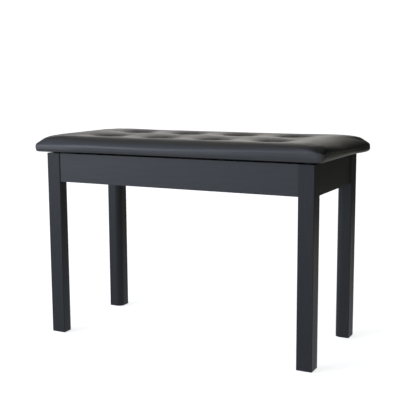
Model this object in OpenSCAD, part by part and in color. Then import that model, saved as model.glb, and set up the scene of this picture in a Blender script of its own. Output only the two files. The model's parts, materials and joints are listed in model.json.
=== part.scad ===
// Duet piano bench: wooden storage frame, hinged padded lid, two slotted lid stays.
// Axes: X along the bench, Y from front (-) to rear (+), Z up from the floor.

/* [Frame] */

// overall length of the wooden frame, leg face to leg face
frame_w = 698; // [600:1:800]
// overall depth of the wooden frame
frame_d = 306; // [260:1:400]
// height of the frame, up to the leg tops
frame_top = 458.5; // [400:0.5:500]
// side of a square leg
leg_side = 37; // [34:1:60]
// radius of the rounded inner corner of a leg
leg_round = 15; // [8:1:16]
// height of an apron board
apron_h = 70.5; // [60:0.5:120]
// thickness of an apron board
apron_t = 15; // [12:1:22]
// how far an apron sits behind the leg faces
apron_recess = 2; // [0:0.5:6]

/* [Storage box] */

// thickness of the bottom panel
panel_t = 4; // [3:0.5:8]
// side of a cleat strip under the bottom panel
cleat_side = 12; // [8:1:20]
// height of the cleats above the lower apron edge
cleat_lift = 2; // [0:0.5:10]

/* [Seat] */

// overall length of the padded lid
seat_w = 752; // [640:1:860]
// overall depth of the padded lid
seat_d = 356; // [300:1:450]
// gap between the frame and the closed lid
lid_gap = 5.5; // [5:0.1:8]
// overall thickness of the padded lid
seat_h = 40; // [34:0.5:60]
// thickness of the plywood seat board
board_t = 12; // [9:1:18]
// thickness of the seat cover
cover_t = 1.2; // [0.8:0.1:2]
// spacing of the tufts along the bench
tuft_pitch_x = 146; // [120:1:180]
// spacing of the tuft rows across the bench
tuft_pitch_y = 144; // [100:1:200]
// depth of a tuft dimple
tuft_depth = 12; // [4:0.5:14]

/* [Hinges and stays] */

// distance of a hinge from the middle of the bench
hinge_x = 220; // [100:1:260]
// length of a hinge
hinge_len = 60; // [40:1:90]
// length of a stay arm between its pivots
stay_len = 132; // [110:1:135]
// drop of the stay slot below the lid, in degrees
slot_drop = 3; // [2:0.5:4]
// angle between the slot and the stay pivot, in degrees
stay_rest = 7; // [6:0.5:9]
// lid angle at which the stay slot ends, in degrees
lid_open = 70; // [60:1:71]

/* [Hidden] */

$fn = 48;
fit = 0.05;
gap = 0.3;
edge_r = 1.5;
frame_hx = frame_w / 2;
frame_hy = frame_d / 2;
apron_bottom = frame_top - apron_h;
apron_x = frame_hx - apron_recess;
apron_y = frame_hy - apron_recess;
inner_x = apron_x - apron_t;
inner_y = apron_y - apron_t;
leg_in_x = frame_hx - leg_side;
leg_in_y = frame_hy - leg_side;
leg_cx = frame_hx - leg_side / 2;
leg_cy = frame_hy - leg_side / 2;

// foot glides
glide_t = 1.5;
glide_r = 12;
glide_nail_r = 2;
glide_nail_len = 12;

// dowels between aprons and legs
dowel_r = 4;
dowel_half = 14;
dowel_inset = 15;
dowel_z = [apron_bottom + dowel_inset, frame_top - dowel_inset];

// corner brackets and their bolts
bracket_t = 2.5;
bracket_h = 28;
bracket_z = apron_bottom + 20;
bracket_stand = 8.5;
bracket_set = leg_in_x + leg_in_y - bracket_stand;
bracket_wing = 24;
bracket_screw_k = [0.3, 0.75];
bracket_screw_z = [-7, 7];
bolt_r = 3;
bolt_z = bracket_z + bracket_h / 2;
bolt_bite = 22;
bolt_end = 3;
washer_r = 7;
washer_t = 1.2;
nut_r = 5.77;
nut_t = 5;
leg_cut = 11;
diag = sqrt(2);

// bottom panel and cleats
cleat_z = apron_bottom + cleat_lift;
panel_z = cleat_z + cleat_side;
cleat_screw_x = [-270, -90, 90, 270];
cleat_screw_y = [-90, 90];
panel_screw_x = [-240, 0, 240];

// wood screws
screw_r = 1.5;
screw_head_r = 2.9;
screw_head_h = 1.2;
pan_head_r = 3.2;
pan_head_h = 1.6;
head_taper = 0.6;
recess_len = 3;
recess_w = 0.7;
recess_h = 0.8;
bracket_bite = 11;
cleat_bite = 9;
panel_bite = 7;
leaf_bite = 11;
plate_bite = 10;
rail_bite = 10;
plate_drop = 3;
button_bite = 8;

// lid
lid_z = frame_top + lid_gap;
board_z = lid_z + cover_t;
board_margin = 7;
board_r = 8;
board_hx = seat_w / 2 - board_margin;
board_hy = seat_d / 2 - board_margin;
wrap_w = 35;
seat_mid = lid_z + seat_h / 2;
crown = [
    [4, 0], [1.6, 0.03], [1.2, 0.2], [0, 0.3], [0.6, 0.42], [2.6, 0.54], [6.2, 0.66],
    [11.5, 0.775], [18.5, 0.87], [27, 0.935], [38, 0.973], [60, 0.993], [100, 1]
];
plan_r = 13;
dimple_r = 60;
button_r = 8;
button_t = 2.5;
button_pin_r = 1.2;
button_z = lid_z + seat_h - tuft_depth;
button_tip = board_z + board_t - button_bite;

// bumpers
bumper_r = 9;
bumper_h = lid_gap - gap;

// hinges
leaf_t = 1.2;
leaf_reach = 16;
knuckle_r = 2.45;
knuckles = 5;
knuckle_len = hinge_len / knuckles;
hinge_pin_r = 1.2;
axis_y = apron_y + 3;
axis_z = frame_top + lid_gap / 2;
leaf_screw_in = 10.5;
leaf_screw_y = axis_y - leaf_screw_in;
leaf_screw_x = [-22, 0, 22];

// stays, drawn in a side plane whose first axis points to the front
plate_t = 2;
plate_half_u = 15;
plate_half_v = 11;
plate_screw_u = 10;
plate_r = 3;
arm_t = 2;
arm_half = 4.8;
arm_clear = 1.5;
arm_outer = inner_x - plate_t - arm_clear;
rivet_r = 2.5;
rivet_head_r = 4.5;
rivet_head_t = 1.3;
running = 0.08;
stay_u = -axis_y + stay_len * cos(slot_drop + stay_rest);
stay_v = axis_z - stay_len * sin(slot_drop + stay_rest);
arm_angle = stay_rest - slot_drop;
slot_far = 2 * stay_len * cos(stay_rest);
slot_near = 2 * stay_len * cos(stay_rest + lid_open);
slot_slack = 0.08;
rail_t = 1.5;
rail_clear = 3;
rail_outer = arm_outer - arm_t - rail_clear;
rail_w = 17.5;
rail_edge = 5.6;
rail_end = 6;
rail_screw_s = [75, 160, 245];
rail_screw_in = 9.5;
stud_head_r = 3.6;
stud_head_t = 1.3;
stud_shoulder_r = 4;
stud_play = 0.4;

wood = [0.10, 0.105, 0.12];
inside_wood = [0.16, 0.14, 0.12];
steel = [0.62, 0.62, 0.64];
zinc = [0.70, 0.68, 0.60];
leather = [0.13, 0.13, 0.14];
foam = [0.82, 0.78, 0.62];
cloth = [0.07, 0.07, 0.07];
rubber = [0.05, 0.05, 0.05];

// ---- helpers ----

// runs its children in all four corners; they are drawn for the right rear corner
module four_corners() {
    for (sx = [0, 1], sy = [0, 1])
        corner(sx, sy) children();
}

// sx and sy of 1 mirror a right rear child to the left and to the front
module corner(sx, sy) {
    mirror([sx, 0, 0]) mirror([0, sy, 0]) children();
}

module both_ends() {
    for (s = [0, 1])
        mirror([s, 0, 0]) children();
}

module rounded(w, d, r) {
    square([w - 2 * r, d], center = true);
    square([w, d - 2 * r], center = true);
    for (x = [-1, 1], y = [-1, 1])
        translate([x * (w / 2 - r), y * (d / 2 - r)]) circle(r);
}

// turns a drawing in (forward, up) into a plate whose outer face is at x
module side_plate(x, t) {
    translate([x, 0, 0]) rotate([90, 0, -90])
        linear_extrude(height = t) children();
}

// countersunk screw pointing down, head face at the origin; grow widens the space into its hole
module screw_space(len, grow) {
    translate([0, 0, -screw_head_h])
        cylinder(r1 = screw_r + grow, r2 = screw_head_r + grow, h = screw_head_h);
    translate([0, 0, -len]) cylinder(r = screw_r + grow, h = len - screw_head_h / 2);
}

module screw(len) {
    difference() {
        screw_space(len, 0);
        cross_recess(0);
    }
}

// cut for a screwdriver in a head whose face is at z
module cross_recess(z) {
    translate([0, 0, z]) for (a = [0, 90])
        rotate([0, 0, a]) cube([recess_len, recess_w, 2 * recess_h], center = true);
}

// pan head screw pointing down, underside of the head at the origin
module pan_screw(len) {
    difference() {
        union() {
            cylinder(r1 = pan_head_r, r2 = pan_head_r * head_taper, h = pan_head_h);
            translate([0, 0, -len]) cylinder(r = screw_r, h = len + pan_head_h / 2);
        }
        cross_recess(pan_head_h);
    }
}

module pan_hole(len) {
    translate([0, 0, -len]) cylinder(r = screw_r + fit, h = len + 1);
}

// ---- where the fasteners go ----

module at_glide() {
    translate([leg_cx, leg_cy, 0]) children();
}

module at_leg_bolt() {
    translate([leg_in_x, leg_in_y, bolt_z]) rotate([0, 0, 45]) rotate([0, 90, 0]) children();
}

module at_bracket_screws() {
    for (k = bracket_screw_k, z = bracket_screw_z) {
        translate([bracket_set - inner_y - k * bracket_wing, inner_y - bracket_t, bolt_z + z])
            rotate([90, 0, 0]) children();
        translate([inner_x - bracket_t, bracket_set - inner_x - k * bracket_wing, bolt_z + z])
            rotate([0, -90, 0]) children();
    }
}

module at_cleat_screws() {
    for (x = cleat_screw_x, s = [0, 1])
        mirror([0, s, 0]) translate([x, inner_y - cleat_side, cleat_z + cleat_side / 2])
            rotate([90, 0, 0]) children();
    for (y = cleat_screw_y)
        both_ends() translate([inner_x - cleat_side, y, cleat_z + cleat_side / 2])
            rotate([0, -90, 0]) children();
}

module at_panel_screws() {
    for (x = panel_screw_x, s = [-1, 1])
        translate([x, s * (inner_y - cleat_side / 2), panel_z + panel_t]) children();
    both_ends() translate([inner_x - cleat_side / 2, 0, panel_z + panel_t]) children();
}

module at_frame_leaf_screws() {
    for (x = leaf_screw_x)
        both_ends() translate([hinge_x + x, leaf_screw_y, frame_top + leaf_t]) children();
}

module at_lid_leaf_screws() {
    for (x = leaf_screw_x)
        both_ends() translate([hinge_x + x, leaf_screw_y, lid_z - leaf_t]) rotate([180, 0, 0]) children();
}

module at_plate_screws() {
    for (u = [-plate_screw_u, plate_screw_u])
        both_ends() translate([inner_x - plate_t, -stay_u + u, stay_v - plate_drop])
            rotate([0, -90, 0]) children();
}

module at_rail_screws() {
    for (s = rail_screw_s)
        both_ends() translate([rail_outer - rail_screw_in, axis_y - s, lid_z - rail_t])
            rotate([180, 0, 0]) children();
}

module at_tufts() {
    for (i = [-1.5, -0.5, 0.5, 1.5], j = [-0.5, 0.5])
        translate([i * tuft_pitch_x, j * tuft_pitch_y, 0]) children();
}

module apron_dowel_set(grow = 0) {
    four_corners() for (z = dowel_z) {
        translate([leg_in_x - dowel_half - grow, apron_y - apron_t / 2, z]) rotate([0, 90, 0])
            cylinder(r = dowel_r + grow, h = 2 * (dowel_half + grow));
        translate([apron_x - apron_t / 2, leg_in_y + dowel_half + grow, z]) rotate([90, 0, 0])
            cylinder(r = dowel_r + grow, h = 2 * (dowel_half + grow));
    }
}

// ---- legs ----

// a square with small eased corners and one large rounding on the corner that faces the box
module leg_outline() {
    intersection() {
        translate([leg_cx, leg_cy]) rounded(leg_side, leg_side, edge_r);
        union() {
            translate([leg_in_x + leg_round, leg_in_y + leg_round]) circle(leg_round);
            translate([leg_in_x + leg_round, leg_in_y]) square(leg_side);
            translate([leg_in_x, leg_in_y + leg_round]) square(leg_side);
        }
    }
}

module leg() {
    difference() {
        translate([0, 0, glide_t]) linear_extrude(height = frame_top - glide_t) leg_outline();
        translate([leg_in_x, leg_in_y, apron_bottom]) rotate([0, 0, 45])
            translate([-leg_cut / diag, -leg_side, 0])
                cube([2 * leg_cut / diag, 2 * leg_side, apron_h + 1]);
        at_glide() translate([0, 0, glide_t - 1])
            cylinder(r = glide_nail_r + fit, h = glide_nail_len + 1);
        at_leg_bolt() translate([0, 0, leg_cut / diag - 1])
            cylinder(r = bolt_r + fit, h = bolt_bite + 1 + fit);
        apron_dowel_set(fit);
    }
}

module leg_front_left() { color(wood) corner(1, 1) leg(); }
module leg_front_right() { color(wood) corner(0, 1) leg(); }
module leg_rear_left() { color(wood) corner(1, 0) leg(); }
module leg_rear_right() { color(wood) corner(0, 0) leg(); }

module glide() {
    color(rubber) at_glide() {
        cylinder(r1 = glide_r - 1, r2 = glide_r, h = 1);
        translate([0, 0, 1]) cylinder(r = glide_r, h = glide_t - 1);
        cylinder(r = glide_nail_r, h = glide_t + glide_nail_len - 1);
    }
}

module glide_front_left() { corner(1, 1) glide(); }
module glide_front_right() { corner(0, 1) glide(); }
module glide_rear_left() { corner(1, 0) glide(); }
module glide_rear_right() { corner(0, 0) glide(); }

// ---- storage box ----

module long_apron() {
    difference() {
        translate([-leg_in_x, inner_y, apron_bottom]) cube([2 * leg_in_x, apron_t, apron_h]);
        apron_dowel_set(fit);
        four_corners() at_bracket_screws() screw_space(bracket_t + bracket_bite + fit, fit);
        at_cleat_screws() screw_space(cleat_side + cleat_bite + fit, fit);
    }
}

module end_apron() {
    difference() {
        translate([inner_x, -leg_in_y, apron_bottom]) cube([apron_t, 2 * leg_in_y, apron_h]);
        apron_dowel_set(fit);
        four_corners() at_bracket_screws() screw_space(bracket_t + bracket_bite + fit, fit);
        at_cleat_screws() screw_space(cleat_side + cleat_bite + fit, fit);
        at_plate_screws() screw_space(plate_t + plate_bite + fit, fit);
    }
}

module front_apron() { color(wood) mirror([0, 1, 0]) long_apron(); }
module left_apron() { color(wood) mirror([1, 0, 0]) end_apron(); }
module right_apron() { color(wood) end_apron(); }

// the rear board carries the hinges
module rear_apron() {
    color(wood) difference() {
        long_apron();
        at_frame_leaf_screws() screw_space(leaf_t + leaf_bite + fit, fit);
    }
}

module apron_dowels() { color(inside_wood) apron_dowel_set(); }

module bottom_panel() {
    color(inside_wood) difference() {
        translate([-inner_x + gap, -inner_y + gap, panel_z])
            cube([2 * (inner_x - gap), 2 * (inner_y - gap), panel_t]);
        four_corners() translate([leg_in_x - gap, leg_in_y - gap, panel_z - 1])
            cube([leg_side, leg_side, panel_t + 2]);
        at_panel_screws() pan_hole(panel_t + 1);
    }
}

module long_cleat() {
    difference() {
        translate([-leg_in_x + gap, inner_y - cleat_side, cleat_z])
            cube([2 * (leg_in_x - gap), cleat_side, cleat_side]);
        at_cleat_screws() screw_space(cleat_side + 1, fit);
        at_panel_screws() pan_hole(panel_t + panel_bite + 1);
    }
}

module end_cleat() {
    difference() {
        translate([inner_x - cleat_side, -leg_in_y + gap, cleat_z])
            cube([cleat_side, 2 * (leg_in_y - gap), cleat_side]);
        at_cleat_screws() screw_space(cleat_side + 1, fit);
        at_panel_screws() pan_hole(panel_t + panel_bite + 1);
    }
}

module front_cleat() { color(inside_wood) mirror([0, 1, 0]) long_cleat(); }
module rear_cleat() { color(inside_wood) long_cleat(); }
module left_cleat() { color(inside_wood) mirror([1, 0, 0]) end_cleat(); }
module right_cleat() { color(inside_wood) end_cleat(); }
module cleat_screws() { color(steel) at_cleat_screws() screw(cleat_side + cleat_bite); }
module panel_screws() { color(steel) at_panel_screws() pan_screw(panel_t + panel_bite); }

// ---- corner joints ----

module bracket() {
    far = bracket_set - bracket_t * diag;
    color(zinc) difference() {
        translate([0, 0, bracket_z]) linear_extrude(height = bracket_h) polygon([
            [bracket_set - inner_y - bracket_wing, inner_y],
            [bracket_set - inner_y, inner_y],
            [inner_x, bracket_set - inner_x],
            [inner_x, bracket_set - inner_x - bracket_wing],
            [inner_x - bracket_t, bracket_set - inner_x - bracket_wing],
            [inner_x - bracket_t, far - inner_x + bracket_t],
            [far - inner_y + bracket_t, inner_y - bracket_t],
            [bracket_set - inner_y - bracket_wing, inner_y - bracket_t]
        ]);
        at_bracket_screws() screw_space(bracket_t + 1, fit);
        at_leg_bolt() translate([0, 0, -leg_side]) cylinder(r = bolt_r + fit, h = leg_side);
    }
}

module bracket_front_left() { corner(1, 1) bracket(); }
module bracket_front_right() { corner(0, 1) bracket(); }
module bracket_rear_left() { corner(1, 0) bracket(); }
module bracket_rear_right() { corner(0, 0) bracket(); }
module bracket_screws() { color(steel) four_corners() at_bracket_screws() screw(bracket_t + bracket_bite); }

plate_back = (bracket_set - leg_in_x - leg_in_y) / diag - bracket_t;

module leg_bolts() {
    tail = plate_back - washer_t - nut_t - bolt_end;
    color(steel) four_corners() at_leg_bolt() translate([0, 0, tail])
        cylinder(r = bolt_r, h = leg_cut / diag + bolt_bite - tail);
}

module leg_washers() {
    color(steel) four_corners() at_leg_bolt() translate([0, 0, plate_back - washer_t]) difference() {
        cylinder(r = washer_r, h = washer_t);
        translate([0, 0, -1]) cylinder(r = bolt_r + fit, h = washer_t + 2);
    }
}

module leg_nuts() {
    color(steel) four_corners() at_leg_bolt()
        translate([0, 0, plate_back - washer_t - nut_t]) difference() {
            cylinder(r = nut_r, h = nut_t, $fn = 6);
            translate([0, 0, -1]) cylinder(r = bolt_r + fit, h = nut_t + 2);
        }
}

// ---- lid bumpers ----

module bumper() {
    color(rubber) translate([leg_cx, leg_cy, frame_top]) {
        cylinder(r = bumper_r, h = bumper_h - 1);
        translate([0, 0, bumper_h - 1]) cylinder(r1 = bumper_r, r2 = bumper_r - 1, h = 1);
    }
}

module bumper_front_left() { corner(1, 1) bumper(); }
module bumper_front_right() { corner(0, 1) bumper(); }
module bumper_rear_left() { corner(1, 0) bumper(); }
module bumper_rear_right() { corner(0, 0) bumper(); }

// ---- hinges ----

function knuckle_x(k) = hinge_x - hinge_len / 2 + k * knuckle_len;

// first is 0 for the leaf that owns the end knuckles, 1 for the other
module leaf(first, z) {
    difference() {
        translate([hinge_x - hinge_len / 2, axis_y - leaf_reach, z]) cube([hinge_len, leaf_reach, leaf_t]);
        for (k = [1 - first : 2 : knuckles - 1])
            translate([knuckle_x(k) - gap / 2, axis_y - knuckle_r - 2 * gap, z - 1])
                cube([knuckle_len + gap, leaf_reach, leaf_t + 2]);
    }
    for (k = [first : 2 : knuckles - 1])
        translate([knuckle_x(k) + gap / 2, axis_y, axis_z])
            rotate([0, 90, 0]) cylinder(r = knuckle_r, h = knuckle_len - gap);
}

module hinge_bore() {
    translate([hinge_x - hinge_len, axis_y, axis_z]) rotate([0, 90, 0])
        cylinder(r = hinge_pin_r + fit, h = 2 * hinge_len);
}

module frame_leaf() {
    color(zinc) difference() {
        leaf(0, frame_top);
        hinge_bore();
        at_frame_leaf_screws() screw_space(leaf_t + 1, fit);
    }
}

module lid_leaf() {
    color(zinc) difference() {
        leaf(1, lid_z - leaf_t);
        hinge_bore();
        at_lid_leaf_screws() screw_space(leaf_t + 1, fit);
    }
}

module hinge_pin() {
    color(steel) translate([hinge_x - hinge_len / 2, axis_y, axis_z]) rotate([0, 90, 0])
        cylinder(r = hinge_pin_r, h = hinge_len);
}

module hinge_frame_leaf_left() { mirror([1, 0, 0]) frame_leaf(); }
module hinge_frame_leaf_right() { frame_leaf(); }
module hinge_lid_leaf_left() { mirror([1, 0, 0]) lid_leaf(); }
module hinge_lid_leaf_right() { lid_leaf(); }
module hinge_pin_left() { mirror([1, 0, 0]) hinge_pin(); }
module hinge_pin_right() { hinge_pin(); }
module hinge_frame_screws() { color(steel) at_frame_leaf_screws() screw(leaf_t + leaf_bite); }
module hinge_lid_screws() { color(steel) at_lid_leaf_screws() screw(leaf_t + leaf_bite); }

// ---- lid stays ----

module stay_plate() {
    color(zinc) difference() {
        side_plate(inner_x, plate_t) translate([stay_u, stay_v - plate_drop])
            rounded(2 * plate_half_u, 2 * plate_half_v, plate_r);
        translate([inner_x - leg_side, -stay_u, stay_v]) rotate([0, 90, 0])
            cylinder(r = rivet_r, h = 2 * leg_side);
        at_plate_screws() screw_space(plate_t + 1, fit);
    }
}

module stay_rivet() {
    head_x = arm_outer - arm_t - gap - rivet_head_t;
    color(steel) translate([0, -stay_u, stay_v]) rotate([0, 90, 0]) {
        translate([0, 0, head_x]) cylinder(r = rivet_head_r, h = rivet_head_t);
        translate([0, 0, head_x]) cylinder(r = rivet_r, h = inner_x - head_x);
        translate([0, 0, arm_outer + gap])
            cylinder(r = rivet_head_r, h = inner_x - plate_t - arm_outer - gap);
    }
}

module stay_arm() {
    color(zinc) side_plate(arm_outer, arm_t) translate([stay_u, stay_v]) rotate(arm_angle) difference() {
        union() {
            circle(arm_half);
            translate([0, -arm_half]) square([stay_len, 2 * arm_half]);
            translate([stay_len, 0]) circle(arm_half);
        }
        circle(rivet_r + running);
        translate([stay_len, 0]) circle(rivet_r + fit / 2);
    }
}

module stay_stud() {
    shoulder_x = rail_outer + stud_play;
    head_x = rail_outer - rail_t - stud_play - stud_head_t;
    color(steel) translate([0, axis_y - slot_far * cos(slot_drop), axis_z - slot_far * sin(slot_drop)])
        rotate([0, 90, 0]) {
            translate([0, 0, head_x]) cylinder(r = rivet_r, h = arm_outer - head_x);
            translate([0, 0, head_x]) cylinder(r = stud_head_r, h = stud_head_t);
            translate([0, 0, shoulder_x]) cylinder(r = stud_shoulder_r, h = arm_outer - arm_t - shoulder_x);
        }
}

module rail_outline() {
    near = slot_near * cos(slot_drop) - rail_end;
    far = slot_far * cos(slot_drop) + rail_end;
    edge = rail_edge / cos(slot_drop);
    difference() {
        polygon([
            [near, lid_z], [far, lid_z],
            [far, axis_z - far * tan(slot_drop) - edge],
            [near, axis_z - near * tan(slot_drop) - edge]
        ]);
        translate([0, axis_z]) rotate(-slot_drop) {
            translate([slot_near - slot_slack, -rivet_r - running])
                square([slot_far - slot_near + 2 * slot_slack, 2 * (rivet_r + running)]);
            translate([slot_near - slot_slack, 0]) circle(rivet_r + running);
            translate([slot_far + slot_slack, 0]) circle(rivet_r + running);
        }
    }
}

module stay_rail() {
    near = slot_near * cos(slot_drop) - rail_end;
    far = slot_far * cos(slot_drop) + rail_end;
    color(zinc) difference() {
        union() {
            side_plate(rail_outer, rail_t) translate([-axis_y, 0]) rail_outline();
            translate([rail_outer - rail_w, axis_y - far, lid_z - rail_t]) cube([rail_w, far - near, rail_t]);
        }
        at_rail_screws() pan_hole(rail_t + 1);
    }
}

module stay_plate_left() { mirror([1, 0, 0]) stay_plate(); }
module stay_plate_right() { stay_plate(); }
module stay_rivet_left() { mirror([1, 0, 0]) stay_rivet(); }
module stay_rivet_right() { stay_rivet(); }
module stay_arm_left() { mirror([1, 0, 0]) stay_arm(); }
module stay_arm_right() { stay_arm(); }
module stay_stud_left() { mirror([1, 0, 0]) stay_stud(); }
module stay_stud_right() { stay_stud(); }
module stay_rail_left() { mirror([1, 0, 0]) stay_rail(); }
module stay_rail_right() { stay_rail(); }
module stay_plate_screws() { color(steel) at_plate_screws() screw(plate_t + plate_bite); }
module stay_rail_screws() { color(steel) at_rail_screws() pan_screw(rail_t + rail_bite); }

// ---- padded lid ----

// outline of the crowned pad seen from one side, shrunk by skin all round
function crown_side(half, skin, s) = [
    for (p = crown) [s * (half - p[0]) * (half - skin) / half,
        seat_mid + (lid_z + p[1] * seat_h - seat_mid) * (seat_h / 2 - skin) / (seat_h / 2)]
];
function reversed(list) = [for (i = [len(list) - 1 : -1 : 0]) list[i]];
function crown_outline(half, skin) = concat(crown_side(half, skin, 1), reversed(crown_side(half, skin, -1)));

module pad(skin) {
    intersection() {
        translate([0, seat_d, 0]) rotate([90, 0, 0]) linear_extrude(height = 2 * seat_d)
            polygon(crown_outline(seat_w / 2, skin));
        translate([-seat_w, 0, 0]) rotate([90, 0, 90]) linear_extrude(height = 2 * seat_w)
            polygon(crown_outline(seat_d / 2, skin));
        translate([0, 0, lid_z - 1]) linear_extrude(height = seat_h + 2)
            rounded(seat_w - 2 * skin, seat_d - 2 * skin, plan_r - skin);
    }
}

module dimples(z) {
    at_tufts() {
        translate([0, 0, z + dimple_r]) sphere(dimple_r);
        translate([0, 0, z]) cylinder(r = button_r + gap, h = seat_h);
    }
}

module board_block() {
    translate([0, 0, board_z]) linear_extrude(height = board_t) rounded(2 * board_hx, 2 * board_hy, board_r);
}

module button_holes() {
    at_tufts() translate([0, 0, button_tip]) cylinder(r = button_pin_r + fit, h = seat_h);
}

module seat_board() {
    color(inside_wood) difference() {
        board_block();
        button_holes();
        at_lid_leaf_screws() screw_space(leaf_t + leaf_bite + fit, fit);
        at_rail_screws() pan_hole(rail_t + rail_bite + fit);
    }
}

module seat_foam() {
    color(foam) difference() {
        pad(cover_t);
        board_block();
        dimples(button_z - cover_t);
        button_holes();
    }
}

module dust_sheet(grow) {
    translate([0, 0, lid_z - 1]) linear_extrude(height = cover_t + 1)
        square([2 * (board_hx - wrap_w + grow), 2 * (board_hy - wrap_w + grow)], center = true);
}

module seat_cover() {
    color(leather) difference() {
        pad(0);
        difference() {
            pad(cover_t);
            dimples(button_z - cover_t);
        }
        dimples(button_z);
        dust_sheet(gap);
        button_holes();
        at_lid_leaf_screws() screw_space(leaf_t + leaf_bite + fit, fit);
    }
}

module dust_cover() {
    color(cloth) difference() {
        translate([0, 0, lid_z]) linear_extrude(height = cover_t)
            square([2 * (board_hx - wrap_w), 2 * (board_hy - wrap_w)], center = true);
        at_lid_leaf_screws() screw_space(leaf_t + leaf_bite + fit, fit);
        at_rail_screws() pan_hole(rail_t + rail_bite + fit);
    }
}

module tuft_buttons() {
    color(leather) at_tufts() {
        translate([0, 0, button_z]) cylinder(r = button_r, h = button_t - 1);
        translate([0, 0, button_z + button_t - 1]) cylinder(r1 = button_r, r2 = button_r * head_taper, h = 1);
        translate([0, 0, button_tip + fit])
            cylinder(r = button_pin_r, h = button_z - button_tip + button_t / 2);
    }
}

leg_front_left();
leg_front_right();
leg_rear_left();
leg_rear_right();
glide_front_left();
glide_front_right();
glide_rear_left();
glide_rear_right();
front_apron();
rear_apron();
left_apron();
right_apron();
apron_dowels();
bottom_panel();
front_cleat();
rear_cleat();
left_cleat();
right_cleat();
cleat_screws();
panel_screws();
bracket_front_left();
bracket_front_right();
bracket_rear_left();
bracket_rear_right();
bracket_screws();
leg_bolts();
leg_washers();
leg_nuts();
bumper_front_left();
bumper_front_right();
bumper_rear_left();
bumper_rear_right();
hinge_frame_leaf_left();
hinge_frame_leaf_right();
hinge_pin_left();
hinge_pin_right();
hinge_lid_leaf_left();
hinge_lid_leaf_right();
hinge_frame_screws();
hinge_lid_screws();
stay_plate_left();
stay_plate_right();
stay_rivet_left();
stay_rivet_right();
stay_plate_screws();
stay_arm_left();
stay_arm_right();
stay_stud_left();
stay_stud_right();
stay_rail_left();
stay_rail_right();
stay_rail_screws();
seat_board();
seat_foam();
seat_cover();
dust_cover();
tuft_buttons();
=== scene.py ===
import json
import math
import random
import bpy
import bmesh
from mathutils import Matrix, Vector, noise


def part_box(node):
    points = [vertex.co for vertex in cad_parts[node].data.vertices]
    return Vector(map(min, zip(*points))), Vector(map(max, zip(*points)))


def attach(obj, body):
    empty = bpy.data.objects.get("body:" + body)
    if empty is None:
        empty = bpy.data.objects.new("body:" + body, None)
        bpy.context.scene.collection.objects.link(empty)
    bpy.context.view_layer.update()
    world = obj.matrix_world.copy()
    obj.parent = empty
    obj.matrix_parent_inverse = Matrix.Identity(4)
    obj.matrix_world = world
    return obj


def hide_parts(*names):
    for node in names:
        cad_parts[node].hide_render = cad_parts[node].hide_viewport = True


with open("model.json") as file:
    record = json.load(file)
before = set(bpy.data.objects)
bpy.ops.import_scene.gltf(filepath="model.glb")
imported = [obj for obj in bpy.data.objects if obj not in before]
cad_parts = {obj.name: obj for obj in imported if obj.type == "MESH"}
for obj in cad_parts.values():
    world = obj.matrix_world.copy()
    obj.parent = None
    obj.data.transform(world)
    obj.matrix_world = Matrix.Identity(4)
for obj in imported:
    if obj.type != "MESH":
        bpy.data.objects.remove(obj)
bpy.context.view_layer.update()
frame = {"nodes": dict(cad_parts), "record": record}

MM = 0.001
SEAT_LO, SEAT_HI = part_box("seat_cover")
DUST_LO, DUST_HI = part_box("dust_cover")
HALF_X = (SEAT_HI.x - SEAT_LO.x) / 2
HALF_Y = (SEAT_HI.y - SEAT_LO.y) / 2
LID_Z = SEAT_LO.z
PAD_H = SEAT_HI.z - SEAT_LO.z
# the tufts' spacing along the bench and their distance from its middle line, in mm
TUFT_PITCH = 146
TUFT_ROW = 72
TUFTS = [(k * TUFT_PITCH * MM, side * TUFT_ROW * MM) for k in (-1.5, -0.5, 0.5, 1.5) for side in (-1, 1)]


# ---------------------------------------------------------------- materials

def new_material(name):
    m = bpy.data.materials.new(name)
    m.use_nodes = True
    return m, m.node_tree, m.node_tree.nodes["Principled BSDF"]


def node(nt, kind, **values):
    n = nt.nodes.new(kind)
    for key, value in values.items():
        setattr(n, key, value)
    return n


def coords(nt, scale=(1, 1, 1)):
    """The piece's own coordinates, scaled."""
    tc = node(nt, "ShaderNodeTexCoord")
    mp = node(nt, "ShaderNodeMapping")
    mp.inputs["Scale"].default_value = scale
    nt.links.new(tc.outputs["Object"], mp.inputs["Vector"])
    return mp.outputs["Vector"]


def noise_tex(nt, vec, scale, detail=3.0, rough=0.5):
    n = node(nt, "ShaderNodeTexNoise")
    n.inputs["Scale"].default_value = scale
    n.inputs["Detail"].default_value = detail
    n.inputs["Roughness"].default_value = rough
    nt.links.new(vec, n.inputs["Vector"])
    return n.outputs["Fac"]


def ramp(nt, fac, stops):
    """A colour ramp; stops is [(position, a grey level or an RGB colour)]."""
    r = node(nt, "ShaderNodeValToRGB")
    el = r.color_ramp.elements
    while len(el) < len(stops):
        el.new(0.5)
    for e, (pos, col) in zip(el, stops):
        e.position = pos
        e.color = (*col, 1) if isinstance(col, tuple) else (col, col, col, 1)
    nt.links.new(fac, r.inputs["Fac"])
    return r.outputs["Color"]


def bump(nt, bsdf, parts, distance):
    """Chains height maps into the normal; parts is [(height output, strength)]."""
    last = None
    for height, strength in parts:
        b = node(nt, "ShaderNodeBump")
        b.inputs["Strength"].default_value = strength
        b.inputs["Distance"].default_value = distance
        nt.links.new(height, b.inputs["Height"])
        if last:
            nt.links.new(last, b.inputs["Normal"])
        last = b.outputs["Normal"]
    nt.links.new(last, bsdf.inputs["Normal"])


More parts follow.
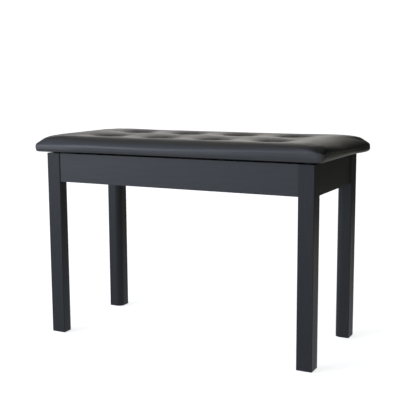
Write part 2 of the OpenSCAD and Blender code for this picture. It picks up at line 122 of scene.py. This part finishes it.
def lacquered_wood(name, along, dark, light, shine=0.5):
    """Satin black lacquer over open grain that runs along one axis."""
    m, nt, bsdf = new_material(name)
    stretch = [1.0, 1.0, 1.0]
    stretch["xyz".index(along)] = 0.045
    vec = coords(nt, tuple(stretch))
    grain = noise_tex(nt, vec, 420, 5, 0.62)
    broad = noise_tex(nt, coords(nt, tuple(s * 0.5 + 0.05 for s in stretch)), 22, 3, 0.5)
    mix = node(nt, "ShaderNodeMix", data_type="RGBA", blend_type="MULTIPLY")
    mix.inputs["Factor"].default_value = 1.0
    nt.links.new(ramp(nt, grain, [(0.32, dark), (0.62, light)]), mix.inputs["A"])
    nt.links.new(ramp(nt, broad, [(0.3, 0.86), (0.7, 1.0)]), mix.inputs["B"])
    nt.links.new(mix.outputs["Result"], bsdf.inputs["Base Color"])
    nt.links.new(ramp(nt, broad, [(0.25, 0.38), (0.75, 0.47)]), bsdf.inputs["Roughness"])
    bump(nt, bsdf, [(ramp(nt, grain, [(0.38, 0.0), (0.55, 1.0)]), 0.10)], 0.0004)
    bsdf.inputs["Specular IOR Level"].default_value = shine
    return m


def raw_wood(name, along, dark, light):
    """Unfinished wood with its grain along one axis."""
    m, nt, bsdf = new_material(name)
    stretch = [1.0, 1.0, 1.0]
    stretch["xyz".index(along)] = 0.06
    grain = noise_tex(nt, coords(nt, tuple(stretch)), 260, 5, 0.6)
    nt.links.new(ramp(nt, grain, [(0.3, dark), (0.65, light)]), bsdf.inputs["Base Color"])
    bsdf.inputs["Roughness"].default_value = 0.75
    bump(nt, bsdf, [(grain, 0.2)], 0.0004)
    return m


def leatherette(name):
    """Black cover with a fine pebbled grain and a soft sheen."""
    m, nt, bsdf = new_material(name)
    vec = coords(nt)
    cells = node(nt, "ShaderNodeTexVoronoi", feature="DISTANCE_TO_EDGE")
    cells.inputs["Scale"].default_value = 760
    nt.links.new(vec, cells.inputs["Vector"])
    fine = noise_tex(nt, vec, 1500, 2, 0.5)
    soft = noise_tex(nt, vec, 9, 3, 0.5)
    nt.links.new(
        ramp(nt, soft, [(0.3, (0.0135, 0.0140, 0.0155)), (0.7, (0.0185, 0.0190, 0.0205))]),
        bsdf.inputs["Base Color"],
    )
    nt.links.new(ramp(nt, soft, [(0.3, 0.34), (0.7, 0.40)]), bsdf.inputs["Roughness"])
    bsdf.inputs["Specular IOR Level"].default_value = 0.65
    edges = ramp(nt, cells.outputs["Distance"], [(0.0, 0.0), (0.12, 1.0)])
    bump(nt, bsdf, [(edges, 0.16), (fine, 0.06)], 0.0003)
    return m


def plated(name, tint, rough):
    """Plated steel with faint streaks and patches."""
    m, nt, bsdf = new_material(name)
    streak = noise_tex(nt, coords(nt, (1, 1, 0.2)), 900, 2, 0.5)
    patch = noise_tex(nt, coords(nt), 60, 3, 0.5)
    nt.links.new(
        ramp(nt, patch, [(0.3, tuple(c * 0.82 for c in tint)), (0.7, tint)]), bsdf.inputs["Base Color"]
    )
    bsdf.inputs["Metallic"].default_value = 1.0
    nt.links.new(ramp(nt, patch, [(0.3, rough), (0.7, rough + 0.12)]), bsdf.inputs["Roughness"])
    bump(nt, bsdf, [(streak, 0.05)], 0.0002)
    return m


def moulded(name, dark, light, rough, grain=1200):
    """Plastic, rubber or foam: even, with a fine grain."""
    m, nt, bsdf = new_material(name)
    tex = noise_tex(nt, coords(nt), grain, 3, 0.5)
    nt.links.new(ramp(nt, tex, [(0.3, dark), (0.7, light)]), bsdf.inputs["Base Color"])
    bsdf.inputs["Roughness"].default_value = rough
    bump(nt, bsdf, [(tex, 0.15)], 0.0003)
    return m


def nonwoven(name):
    """Black felt-like cloth with a fine embossed dot grid."""
    m, nt, bsdf = new_material(name)
    dots = node(nt, "ShaderNodeTexVoronoi", feature="F1")
    dots.inputs["Scale"].default_value = 420
    dots.inputs["Randomness"].default_value = 0.15
    nt.links.new(coords(nt), dots.inputs["Vector"])
    fibre = noise_tex(nt, coords(nt), 900, 4, 0.6)
    nt.links.new(
        ramp(nt, fibre, [(0.3, (0.010, 0.010, 0.011)), (0.7, (0.024, 0.024, 0.026))]),
        bsdf.inputs["Base Color"],
    )
    bsdf.inputs["Roughness"].default_value = 0.92
    bsdf.inputs["Sheen Weight"].default_value = 0.15
    bump(nt, bsdf, [(dots.outputs["Distance"], 0.35), (fibre, 0.2)], 0.0003)
    return m


WOOD_DARK, WOOD_LIGHT = (0.0122, 0.0132, 0.0155), (0.0175, 0.0188, 0.0218)
WOOD = {a: lacquered_wood("lacquer_" + a, a, WOOD_DARK, WOOD_LIGHT, 0.34 if a == "z" else 0.5) for a in "xyz"}
LEATHER = leatherette("leatherette")
ZINC = plated("zinc", (0.60, 0.59, 0.55), 0.34)
STEEL = plated("steel", (0.50, 0.50, 0.51), 0.30)
NYLON = moulded("nylon", (0.010, 0.010, 0.011), (0.020, 0.020, 0.021), 0.5)
RUBBER = moulded("rubber", (0.012, 0.012, 0.012), (0.022, 0.022, 0.022), 0.75)
CLOTH = nonwoven("dust_cloth")
FOAM = moulded("foam", (0.62, 0.54, 0.36), (0.78, 0.70, 0.50), 0.95, 500)
DOWEL = raw_wood("dowel_wood", "x", (0.42, 0.28, 0.15), (0.62, 0.46, 0.28))
PLYWOOD = raw_wood("plywood", "x", (0.34, 0.23, 0.13), (0.52, 0.38, 0.23))
PANEL = lacquered_wood("panel_paint", "x", (0.012, 0.012, 0.013), (0.019, 0.019, 0.021))

BY_SLOT = {
    "raw_wood": DOWEL, "panel": PANEL, "plywood": PLYWOOD, "foam": FOAM, "cover": LEATHER,
    "dust_cloth": CLOTH, "glide": NYLON, "bumper": RUBBER, "zinc_steel": ZINC, "fastener_steel": STEEL,
}


def grain_axis(name):
    """Legs have their grain upright, aprons and cleats along their length."""
    if name.startswith("leg_"):
        return "z"
    return "x" if name.startswith(("front", "rear")) else "y"


for part in frame["record"]["subparts"]:
    name, slot_name = part["node"], part["material_slot"]
    mat = WOOD[grain_axis(name)] if slot_name == "black_wood" else BY_SLOT[slot_name]
    for s in frame["nodes"][name].material_slots:
        s.material = mat


# ---------------------------------------------------------------- the padded lid

# the pad's side from under the edge round the board's lip, the bulge and the crown: (inset, height above
# the underside), in mm
SIDE = [
    (30, 0), (16, 0), (10, 0), (6.5, 0.1), (4, 0.5), (2.4, 1.6), (1.6, 3.5), (1.3, 7), (0.9, 10.5), (0, 13.5),
    (0.5, 17), (2.1, 21.5), (5.2, 26), (10, 30.4), (16.5, 34.2), (25, 37), (36, 38.4), (52, 38.6), (80, 38.6),
    (120, 38.6),
]
UNDERCUT = 9  # how far up and in the cover is drawn under the board's edge, in mm
PLAN_R = 13 * MM
VOXEL = 5 * MM
TUFT_DEPTH = 12 * MM
CLOTH_FRAMES = 20
CLOTH_CAP = 3 * MM
LIP_Z = LID_Z + 11 * MM
# the crease, pleats and folds in the cover, in mm, and how many folds run into each tuft
CREASE = 0.5
CREASE_FADE = 0.3
PLEAT = 0.6
FOLD = 0.6
FOLDS = 5
# how the pad's underside opens for the dust cloth, in mm: under the cloth's edge, how high, over what width
CLOTH_OVERLAP = 1
UNDER_LIFT = 1.8
UNDER_RAMP = 3
# the cover is not stretched evenly: its front edge sits higher towards the right, its underside hangs lower
# at the left, at the rear right and a little at the front right, the rear right corner is fuller, the left
# tip is thinner and the whole cover sits a little to the right
FRONT_LIFT = 6.5 * MM
REAR_SINK = 3.5 * MM
LEFT_SINK = 2.2 * MM
FRONT_SINK = 0.4 * MM
REAR_BULGE = 3 * MM
LEFT_TAPER = 3 * MM
COVER_SHIFT = 1.5 * MM


def smoothstep(t):
    """0 below 0, 1 above 1 and smooth between."""
    t = max(0.0, min(1.0, t))
    return t * t * (3 - 2 * t)


def bell(x, width):
    """1 at 0, falling away over the width on both sides."""
    return math.exp(-((x / width) ** 2))


def front_right(x, y):
    """0 to 1 towards the front right of the pad."""
    return smoothstep((x + 0.06) / 0.34) * smoothstep(-y / 0.12)


def rear_right(x, y):
    """0 to 1 towards the rear right of the pad."""
    return smoothstep((x - 0.16) / 0.18) * smoothstep((y - 0.02) / 0.14)


def left_end(x):
    """0 to 1 towards the left end of the pad."""
    return smoothstep((-x - 0.18) / 0.16)


def outward(x, y):
    """The direction out of the pad in plan, or None over its flat middle."""
    q = Vector((max(abs(x) - (HALF_X - 2 * PLAN_R), 0), max(abs(y) - (HALF_Y - 2 * PLAN_R), 0)))
    if q.length == 0:
        return None
    q.normalize()
    return Vector((math.copysign(q.x, x), math.copysign(q.y, y)))


def rounded_loop(hx, hy, r, n_corner=8, n_x=40, n_y=20):
    """Points round a rounded rectangle, the same count whatever its size."""
    out = []
    for sx, sy, start, count in ((1, 1, 0, n_x), (-1, 1, 90, n_y), (-1, -1, 180, n_x), (1, -1, 270, n_y)):
        cx, cy = sx * (hx - r), sy * (hy - r)
        for k in range(n_corner + 1):
            a = math.radians(start + 90 * k / n_corner)
            out.append((cx + r * math.cos(a), cy + r * math.sin(a)))
        ax, ay = out[-1]
        nxt = {0: (-(hx - r), hy), 90: (-hx, -(hy - r)), 180: (hx - r, -hy), 270: (hx, hy - r)}[start]
        for k in range(1, count):
            t = k / count
            out.append((ax + (nxt[0] - ax) * t, ay + (nxt[1] - ay) * t))
    return out


def smooth_side(steps=3):
    """The side profile with extra points on a Catmull-Rom curve."""
    pts = [SIDE[0]] + SIDE + [SIDE[-1]]
    out = []
    for i in range(1, len(pts) - 2):
        p0, p1, p2, p3 = pts[i - 1:i + 3]
        for k in range(steps):
            t = k / steps
            out.append(tuple(
                0.5 * (2 * p1[j] + (p2[j] - p0[j]) * t + (2 * p0[j] - 5 * p1[j] + 4 * p2[j] - p3[j]) * t * t
                       + (3 * p1[j] - p0[j] - 3 * p2[j] + p3[j]) * t ** 3) for j in (0, 1)))
    out.append(SIDE[-1])
    return out


def uneven(x, y, inset, height):
    """Moves a point of the even pad to where the hand-stretched cover has it; inset and height in mm."""
    lift = FRONT_LIFT * front_right(x, y) * smoothstep(height / 5) * (1 - smoothstep((height - 20) / 20))
    rim = 1 - smoothstep((inset - 8) / 8)
    low = 1 - smoothstep(height / 25)
    sink = REAR_SINK * rear_right(x, y) + LEFT_SINK * left_end(x) + FRONT_SINK * front_right(x, y)
    sink = sink * low * rim
    out = REAR_BULGE * rear_right(x, y) * (bell(height - 6, 10) - 0.7 * bell(height - 31, 8)) * rim
    tip = left_end(x) * smoothstep((-y - 0.12) / 0.05)
    out -= LEFT_TAPER * tip * bell(height - 26, 10)
    if height < UNDERCUT and inset < UNDERCUT:
        under = 1 - math.sqrt(1 - (1 - height / UNDERCUT) ** 2)
        out -= (1 + 1.2 * front_right(x, y) + 1.2 * left_end(x) + 1.8 * tip) * MM * under
    n = outward(x, y) or Vector((0, 0))
    return x + n.x * out, y + n.y * out, LID_Z + height * MM + lift - sink


def pad_mesh(name):
    """The closed pad: rings of the side profile, capped below and on top."""
    bm = bmesh.new()
    rings = []
    for inset, height in smooth_side():
        d = inset * MM
        grow = 1.1 if height > 9 else 0.0
        loop = rounded_loop(HALF_X - d, HALF_Y - d, PLAN_R + grow * d)
        rings.append([bm.verts.new(uneven(x, y, inset, height)) for x, y in loop])
    for a, b in zip(rings, rings[1:]):
        for i in range(len(a)):
            j = (i + 1) % len(a)
            bm.faces.new((a[i], a[j], b[j], b[i]))
    bm.faces.new(list(reversed(rings[0])))
    bm.faces.new(rings[-1])
    bmesh.ops.recalc_face_normals(bm, faces=bm.faces)
    bmesh.ops.triangulate(bm, faces=[f for f in bm.faces if len(f.verts) > 4])
    me = bpy.data.meshes.new(name)
    bm.to_mesh(me)
    bm.free()
    return me


def add(name, me, mat):
    o = bpy.data.objects.new(name, me)
    bpy.context.scene.collection.objects.link(o)
    me.materials.clear()
    me.materials.append(mat)
    return o


def apply_modifiers(o):
    dg = bpy.context.evaluated_depsgraph_get()
    me = bpy.data.meshes.new_from_object(o.evaluated_get(dg), preserve_all_data_layers=True, depsgraph=dg)
    o.modifiers.clear()
    old, o.data = o.data, me
    bpy.data.meshes.remove(old)


def tuft_drop(x, y):
    """How far the tufts pull the cover down at (x, y); each dimple is wider along the bench than across."""
    total = 0.0
    for tx, ty in TUFTS:
        r = math.hypot(x - tx, y - ty) / MM
        wide = math.hypot((x - tx) / 1.2, y - ty) / MM
        total += 0.8 * math.exp(-((wide / 35) ** 2.6)) + 0.2 * math.exp(-((r / 14) ** 1.5))
    return min(total, 1.0) * TUFT_DEPTH + 2 * MM * smoothstep((0.34 - abs(x)) / 0.2)


def top_share(z):
    """0 on the pad's lower half and 1 on its crown."""
    return smoothstep((z - LID_Z - PAD_H * 0.4) / (PAD_H * 0.4))


def corner_drop(x, y):
    """The crown sags a little towards the pad's four corners."""
    reach = math.hypot(HALF_X - abs(x), HALF_Y - abs(y)) / MM
    close = 0.8 if x < 0 < y else 4.5
    return (1.2 * (1 - smoothstep(reach / 60)) + close * (1 - smoothstep(reach / 40))) * MM


def inflate(o):
    """Lets the cover bulge between its tufts, held at the tufts, the lip and the underside."""
    rest = [v.co.copy() for v in o.data.vertices]
    pins = o.vertex_groups.new(name="pins")
    for v in o.data.vertices:
        near = min(math.hypot(v.co.x - tx, v.co.y - ty) for tx, ty in TUFTS) / MM
        held = max(1 - smoothstep((v.co.z - LIP_Z) / (8 * MM)), 1 - smoothstep((near - 8) / 14))
        if held > 0.02:
            pins.add([v.index], held, "REPLACE")
    cloth = o.modifiers.new("cloth", "CLOTH")
    c = cloth.settings
    c.quality = 4
    c.mass = 0.4
    c.tension_stiffness = c.compression_stiffness = c.shear_stiffness = 25
    c.bending_stiffness = 1.5
    c.use_pressure = True
    c.uniform_pressure_force = 2.8
    c.vertex_group_mass = "pins"
    c.pin_stiffness = 1
    c.effector_weights.gravity = 0
    cloth.collision_settings.use_collision = False
    cloth.point_cache.frame_start = 1
    cloth.point_cache.frame_end = CLOTH_FRAMES
    for f in range(1, CLOTH_FRAMES + 1):
        bpy.context.scene.frame_set(f)
    apply_modifiers(o)
    bpy.context.scene.frame_set(1)
    for v, was in zip(o.data.vertices, rest):
        move = v.co - was
        if move.length > CLOTH_CAP:
            v.co = was + move.normalized() * CLOTH_CAP


def detail(o, rng):
    """The lip's crease, the corner pleats, the folds into each tuft and the cover's shift to the right."""
    phase = {t: rng.uniform(0, 2 * math.pi) for t in TUFTS}
    for v in o.data.vertices:
        x, y, z = v.co
        lip = LIP_Z + FRONT_LIFT * front_right(x, y)
        n = outward(x, y)
        if n and LID_Z + 5 * MM < z < LID_Z + 30 * MM:
            cut = (CREASE - CREASE_FADE * smoothstep((abs(n.x) - 0.5) * 4)) * bell((z - lip) / MM, 2.4)
            turn = math.degrees(math.atan2(abs(n.y), abs(n.x))) - 45
            cut += PLEAT * bell((z - lip - 7 * MM) / MM, 10) * (bell(turn - 17, 7) + bell(turn + 17, 7))
            v.co.x -= n.x * cut * MM
            v.co.y -= n.y * cut * MM
        if z > LID_Z + PAD_H * 0.5:
            for t in TUFTS:
                r = math.hypot(x - t[0], y - t[1]) / MM
                if r < 60:
                    a = math.atan2(y - t[1], x - t[0])
                    v.co.z -= FOLD * MM * math.cos(FOLDS * a + phase[t]) * bell(r - 20, 12)
        v.co.x += COVER_SHIFT * smoothstep((z - LID_Z) / (3 * MM))


def open_underside(o):
    """Lifts the underside clear of the dust cloth, from just inside the cloth's edge, so no board shows."""
    hx, hy = DUST_HI.x, DUST_HI.y
    for v in o.data.vertices:
        if v.co.z < LID_Z + 3 * MM:
            inside = min(hx - CLOTH_OVERLAP * MM - abs(v.co.x), hy - CLOTH_OVERLAP * MM - abs(v.co.y))
            v.co.z += UNDER_LIFT * MM * smoothstep(inside / (UNDER_RAMP * MM) + 0.5)


cushion = add("seat_cushion_cover", pad_mesh("seat_cushion_cover"), LEATHER)
rm = cushion.modifiers.new("remesh", "REMESH")
rm.mode = "VOXEL"
rm.voxel_size = VOXEL
apply_modifiers(cushion)
for v in cushion.data.vertices:
    v.co.z -= (tuft_drop(v.co.x, v.co.y) + corner_drop(v.co.x, v.co.y)) * top_share(v.co.z)
inflate(cushion)
sub = cushion.modifiers.new("sub", "SUBSURF")
sub.levels = sub.render_levels = 1
apply_modifiers(cushion)
detail(cushion, random.Random(7))
open_underside(cushion)
for p in cushion.data.polygons:
    p.use_smooth = True
cushion.data.materials.clear()
cushion.data.materials.append(LEATHER)
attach(cushion, "lid")
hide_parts("seat_cover", "seat_foam")


# ---------------------------------------------------------------- buttons, dust cloth and staples

# a covered button from its crown to its back: (radius, height), in mm
BUTTON = [
    (0, 2.6), (2.6, 2.5), (5, 2.0), (6.9, 1.1), (7.8, 0), (7.9, -0.7), (7.2, -1.5), (5.2, -2.0), (0, -2.0),
]
BUTTON_SIDES = 32
STAPLE_STEP = 42 * MM
STAPLE_OUT = 6 * MM
STAPLE_TILT = 0.08
HINGE_GAP = 8 * MM
# the dust cloth's sag, its pull between staples and its thickness, in mm, and its mesh
SAG = 0.5
PULL = 0.25
CLOTH_THICK = 0.5
CLOTH_COLUMNS, CLOTH_ROWS = 112, 48


def lathe(bm, profile, place, sides):
    """Turns a (radius, height) profile about an upright axis at the place."""
    px, py, pz = place
    turn = [2 * math.pi * k / sides for k in range(sides)]
    rings = []
    for r, h in profile:
        z = pz + h * MM
        if r == 0:
            rings.append([bm.verts.new((px, py, z))])
        else:
            ring = [(px + r * MM * math.cos(a), py + r * MM * math.sin(a), z) for a in turn]
            rings.append([bm.verts.new(co) for co in ring])
    for a, b in zip(rings, rings[1:]):
        for i in range(sides):
            j = (i + 1) % sides
            quad = [a[i % len(a)], a[j % len(a)], b[j % len(b)], b[i % len(b)]]
            bm.faces.new(list(dict.fromkeys(quad)))


def finished(name, bm, mat, smooth=True):
    bmesh.ops.recalc_face_normals(bm, faces=bm.faces)
    me = bpy.data.meshes.new(name)
    bm.to_mesh(me)
    bm.free()
    for p in me.polygons:
        p.use_smooth = smooth
    return add(name, me, mat)


bm = bmesh.new()
for tx, ty in TUFTS:
    lathe(bm, BUTTON, (tx, ty, SEAT_HI.z - TUFT_DEPTH + 0.6 * MM), BUTTON_SIDES)
buttons = finished("tuft_button_caps", bm, LEATHER)
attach(buttons, "lid")
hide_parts("tuft_buttons")


def cloth_sheet(name, hx, hy, z, nx, ny, mat):
    """The dust cloth: flat at its edges, pulled a little between the staples, with a faint sag inside."""
    bm = bmesh.new()
    rows = []
    for j in range(ny + 1):
        row = []
        for i in range(nx + 1):
            x, y = -hx + 2 * hx * i / nx, -hy + 2 * hy * j / ny
            edge = min(hx - abs(x), hy - abs(y)) / MM
            slack = smoothstep(edge / 25)
            sag = SAG * MM * slack * (0.6 + 0.4 * noise.noise(Vector((x * 14, y * 14, 0))))
            pull = PULL * MM * (1 - slack) * math.cos(2 * math.pi * (x + y) / STAPLE_STEP)
            row.append(bm.verts.new((x, y, z - sag + abs(pull))))
        rows.append(row)
    for a, b in zip(rows, rows[1:]):
        for i in range(nx):
            bm.faces.new((a[i], a[i + 1], b[i + 1], b[i]))
    o = finished(name, bm, mat)
    solid = o.modifiers.new("thick", "SOLIDIFY")
    solid.thickness = CLOTH_THICK * MM
    solid.offset = 0
    apply_modifiers(o)
    return o


cloth_hx, cloth_hy = DUST_HI.x, DUST_HI.y
cloth_z = (DUST_LO.z + DUST_HI.z) / 2
dust = cloth_sheet("dust_cloth", cloth_hx, cloth_hy, cloth_z, CLOTH_COLUMNS, CLOTH_ROWS, CLOTH)
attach(dust, "lid")
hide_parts("dust_cover")


def staple(bm, x, y, angle):
    """A wire staple driven up into the board: a flat crown with two short legs."""
    half, wide, thick, leg = 5 * MM, 0.6 * MM, 0.35 * MM, 3 * MM
    path = [(-half, leg), (-half, 0), (-half + thick, -thick), (half - thick, -thick), (half, 0), (half, leg)]
    c, s = math.cos(angle), math.sin(angle)
    rings = []
    for k, (u, h) in enumerate(path):
        inner = (u - math.copysign(2 * thick, u), h + (2 * thick if 1 < k < 4 else 0))
        ring = []
        for (a, b) in ((u, h), inner):
            for w in (-wide, wide):
                ring.append(bm.verts.new((x + a * c - w * s, y + a * s + w * c, LID_Z + b)))
        rings.append([ring[0], ring[1], ring[3], ring[2]])
    for a, b in zip(rings, rings[1:]):
        for i in range(4):
            j = (i + 1) % 4
            bm.faces.new((a[i], a[j], b[j], b[i]))
    bm.faces.new(list(reversed(rings[0])))
    bm.faces.new(rings[-1])


HINGE_LO, HINGE_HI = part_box("hinge_lid_leaf_right")
bm = bmesh.new()
sx, sy = cloth_hx + STAPLE_OUT, cloth_hy + STAPLE_OUT
nx, ny = int(2 * sx / STAPLE_STEP), int(2 * sy / STAPLE_STEP)
for i in range(nx):
    x = -sx + 2 * sx * (i + 0.5) / nx
    staple(bm, x, -sy, STAPLE_TILT * math.sin(3 * i))
    if not HINGE_LO.x - HINGE_GAP < abs(x) < HINGE_HI.x + HINGE_GAP:
        staple(bm, x, sy, STAPLE_TILT * math.sin(5 * i))
for j in range(ny):
    y = -sy + 2 * sy * (j + 0.5) / ny
    for side in (-1, 1):
        staple(bm, side * sx, y, math.pi / 2 + STAPLE_TILT * math.sin(4 * j + side))
staples = finished("wrap_staples", bm, STEEL, smooth=False)
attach(staples, "lid")


# ---------------------------------------------------------------- studio

FLOOR_HALF = 12
BOUNCE_DROP = 0.002
CAMERA_PLACE = (0.9353, -1.8303, 0.6512)
CAMERA_DOWN, CAMERA_ROLL, CAMERA_TURN = 8.578, 0.329, 27.053
CAMERA_SENSOR, CAMERA_LENS = 36, 75.51
SKY_STRENGTH = 1.22


def stage_plane(name, size_x, size_y, mat):
    """A flat rectangle that isn't part of the bench; the sizes are half sizes."""
    me = bpy.data.meshes.new(name)
    corners = [(-size_x, -size_y, 0), (size_x, -size_y, 0), (size_x, size_y, 0), (-size_x, size_y, 0)]
    me.from_pydata(corners, [], [(0, 1, 2, 3)])
    me.materials.append(mat)
    o = bpy.data.objects.new(name, me)
    bpy.context.scene.collection.objects.link(o)
    return o


paper, _, bsdf = new_material("floor_paper")
bsdf.inputs["Base Color"].default_value = (0.93, 0.93, 0.93, 1)
bsdf.inputs["Roughness"].default_value = 0.9
bsdf.inputs["Specular IOR Level"].default_value = 0.1
bsdf.inputs["Emission Color"].default_value = (1.0, 1.0, 1.0, 1)
bsdf.inputs["Emission Strength"].default_value = 0.80
floor = stage_plane("floor", FLOOR_HALF, FLOOR_HALF, paper)
floor.visible_diffuse = floor.visible_glossy = False

# what the bench sees of the floor: dim close by, bright further out, and dark behind on the right
bounce, bnt, bsdf = new_material("floor_bounce")
bsdf.inputs["Base Color"].default_value = (0, 0, 0, 1)
bsdf.inputs["Specular IOR Level"].default_value = 0.0
spot = node(bnt, "ShaderNodeTexCoord").outputs["Object"]
reach = node(bnt, "ShaderNodeVectorMath", operation="LENGTH")
bnt.links.new(spot, reach.inputs[0])
slant = node(bnt, "ShaderNodeVectorMath", operation="DOT_PRODUCT")
slant.inputs[1].default_value = (0.6, 0.8, 0)
bnt.links.new(spot, slant.inputs[0])


def spread(output, low, high):
    """Brings a length in metres into 0..1 for a colour ramp."""
    n = node(bnt, "ShaderNodeMapRange")
    n.inputs["From Min"].default_value = low
    n.inputs["From Max"].default_value = high
    bnt.links.new(output, n.inputs["Value"])
    return n.outputs["Result"]


glow = node(bnt, "ShaderNodeMix", data_type="RGBA", blend_type="MULTIPLY")
glow.inputs["Factor"].default_value = 1.0
by_reach = ramp(bnt, spread(reach.outputs["Value"], 0, 6), [
    (0.08, 0.7), (0.3, 0.77), (0.5, 1.05), (1.0, 1.3),
])
by_slant = ramp(bnt, spread(slant.outputs["Value"], -3, 3), [
    (0.2, (0.92, 1.0, 1.14)), (0.5, (0.88, 0.93, 1.02)),
    (0.68, (0.62, 0.61, 0.56)), (0.85, (0.42, 0.41, 0.34)),
])
bnt.links.new(by_reach, glow.inputs["A"])
bnt.links.new(by_slant, glow.inputs["B"])
bnt.links.new(glow.outputs["Result"], bsdf.inputs["Emission Color"])
bsdf.inputs["Emission Strength"].default_value = 1.0
under = stage_plane("floor_bounce", FLOOR_HALF, FLOOR_HALF, bounce)
under.location.z = -BOUNCE_DROP
under.visible_camera = under.visible_shadow = False

# a black card beside the rear right corner, which only reflections see
black, _, bsdf = new_material("black_card")
bsdf.inputs["Base Color"].default_value = (0.01, 0.01, 0.01, 1)
bsdf.inputs["Roughness"].default_value = 1.0
bsdf.inputs["Specular IOR Level"].default_value = 0.0
card = stage_plane("dark_card", 1.5, 0.9, black)
card.location = (1.95, 1.35, 0.85)
card.rotation_euler = (math.radians(90), 0, math.radians(-25))
card.visible_camera = card.visible_diffuse = card.visible_shadow = card.visible_transmission = False

cam_data = bpy.data.cameras.new("camera")
cam = bpy.data.objects.new("camera", cam_data)
bpy.context.scene.collection.objects.link(cam)
cam_data.sensor_width = CAMERA_SENSOR
cam_data.lens = CAMERA_LENS
cam.location = CAMERA_PLACE
cam.rotation_euler = (math.radians(90 - CAMERA_DOWN), math.radians(CAMERA_ROLL), math.radians(CAMERA_TURN))
bpy.context.scene.camera = cam

world = bpy.data.worlds.new("studio")
bpy.context.scene.world = world
world.use_nodes = True
wnt = world.node_tree
bg = wnt.nodes["Background"]
sep = node(wnt, "ShaderNodeSeparateXYZ")
wnt.links.new(node(wnt, "ShaderNodeTexCoord").outputs["Generated"], sep.inputs[0])


def half_range(output):
    """Brings a direction from -1..1 into 0..1 for a colour ramp."""
    n = node(wnt, "ShaderNodeMath", operation="MULTIPLY_ADD")
    n.inputs[1].default_value = 0.5
    n.inputs[2].default_value = 0.5
    wnt.links.new(output, n.inputs[0])
    return n.outputs[0]


def blend_of(kind, factor, a, b):
    """Mixes two colours; the factor is a number or an output."""
    m = node(wnt, "ShaderNodeMix", data_type="RGBA", blend_type=kind)
    if isinstance(factor, float):
        m.inputs["Factor"].default_value = factor
    else:
        wnt.links.new(factor, m.inputs["Factor"])
    wnt.links.new(a, m.inputs["A"])
    wnt.links.new(b, m.inputs["B"])
    return m.outputs["Result"]


across = half_range(sep.outputs["X"])
away = half_range(sep.outputs["Y"])
rise_front = ramp(wnt, sep.outputs["Z"], [(0.0, 1.0), (0.2, 1.0), (0.5, 0.72), (0.82, 0.45), (1.0, 0.36)])
rise_behind = ramp(wnt, sep.outputs["Z"], [
    (0.0, 1.0), (0.14, 1.0), (0.28, 0.5), (0.45, 0.22), (0.75, 0.22), (1.0, 0.36),
])
behind = ramp(wnt, across, [
    (0.0, (0.5, 0.51, 0.54)), (0.2, (1.15, 1.13, 1.10)), (0.31, (1.5, 1.46, 1.38)),
    (0.38, (0.68, 0.66, 0.61)), (0.5, (0.28, 0.27, 0.24)),
    (0.6, (0.14, 0.14, 0.12)), (1.0, (0.12, 0.12, 0.10)),
])
front = ramp(wnt, across, [
    (0.0, (0.6, 0.68, 0.83)), (0.17, (0.9, 1.01, 1.24)), (0.25, (2.6, 2.85, 3.37)), (0.29, (2.0, 2.17, 2.53)),
    (0.33, (0.95, 1.03, 1.2)), (0.42, (0.45, 0.48, 0.55)), (0.7, (0.17, 0.17, 0.16)),
])
front = blend_of("MULTIPLY", 1.0, rise_front, front)
behind = blend_of("MULTIPLY", 1.0, rise_behind, behind)
sides = blend_of("MIX", ramp(wnt, away, [(0.42, 0.0), (0.56, 1.0)]), front, behind)
# the light is shaped by direction, and the camera itself sees a plain pale backdrop from every side
backdrop = node(wnt, "ShaderNodeMix", data_type="RGBA", blend_type="MIX")
wnt.links.new(node(wnt, "ShaderNodeLightPath").outputs["Is Camera Ray"], backdrop.inputs["Factor"])
wnt.links.new(sides, backdrop.inputs["A"])
backdrop.inputs["B"].default_value = (1, 1, 1, 1)
wnt.links.new(backdrop.outputs["Result"], bg.inputs["Color"])
bg.inputs["Strength"].default_value = SKY_STRENGTH


def area(name, place, target, size, power, colour):
    """A soft box at the place, facing the target."""
    d = bpy.data.lights.new(name, "AREA")
    d.shape = "RECTANGLE"
    d.size, d.size_y = size
    d.energy = power
    d.color = colour
    o = bpy.data.objects.new(name, d)
    bpy.context.scene.collection.objects.link(o)
    o.location = place
    o.rotation_euler = (Vector(target) - Vector(place)).to_track_quat("-Z", "Y").to_euler()


area("key", (-2.6, -2.6, 1.1), (0, 0, 0.35), (1.6, 1.6), 18, (0.92, 0.96, 1.0))

bpy.context.scene.view_settings.view_transform = "Standard"
bpy.context.scene.view_settings.look = "None"
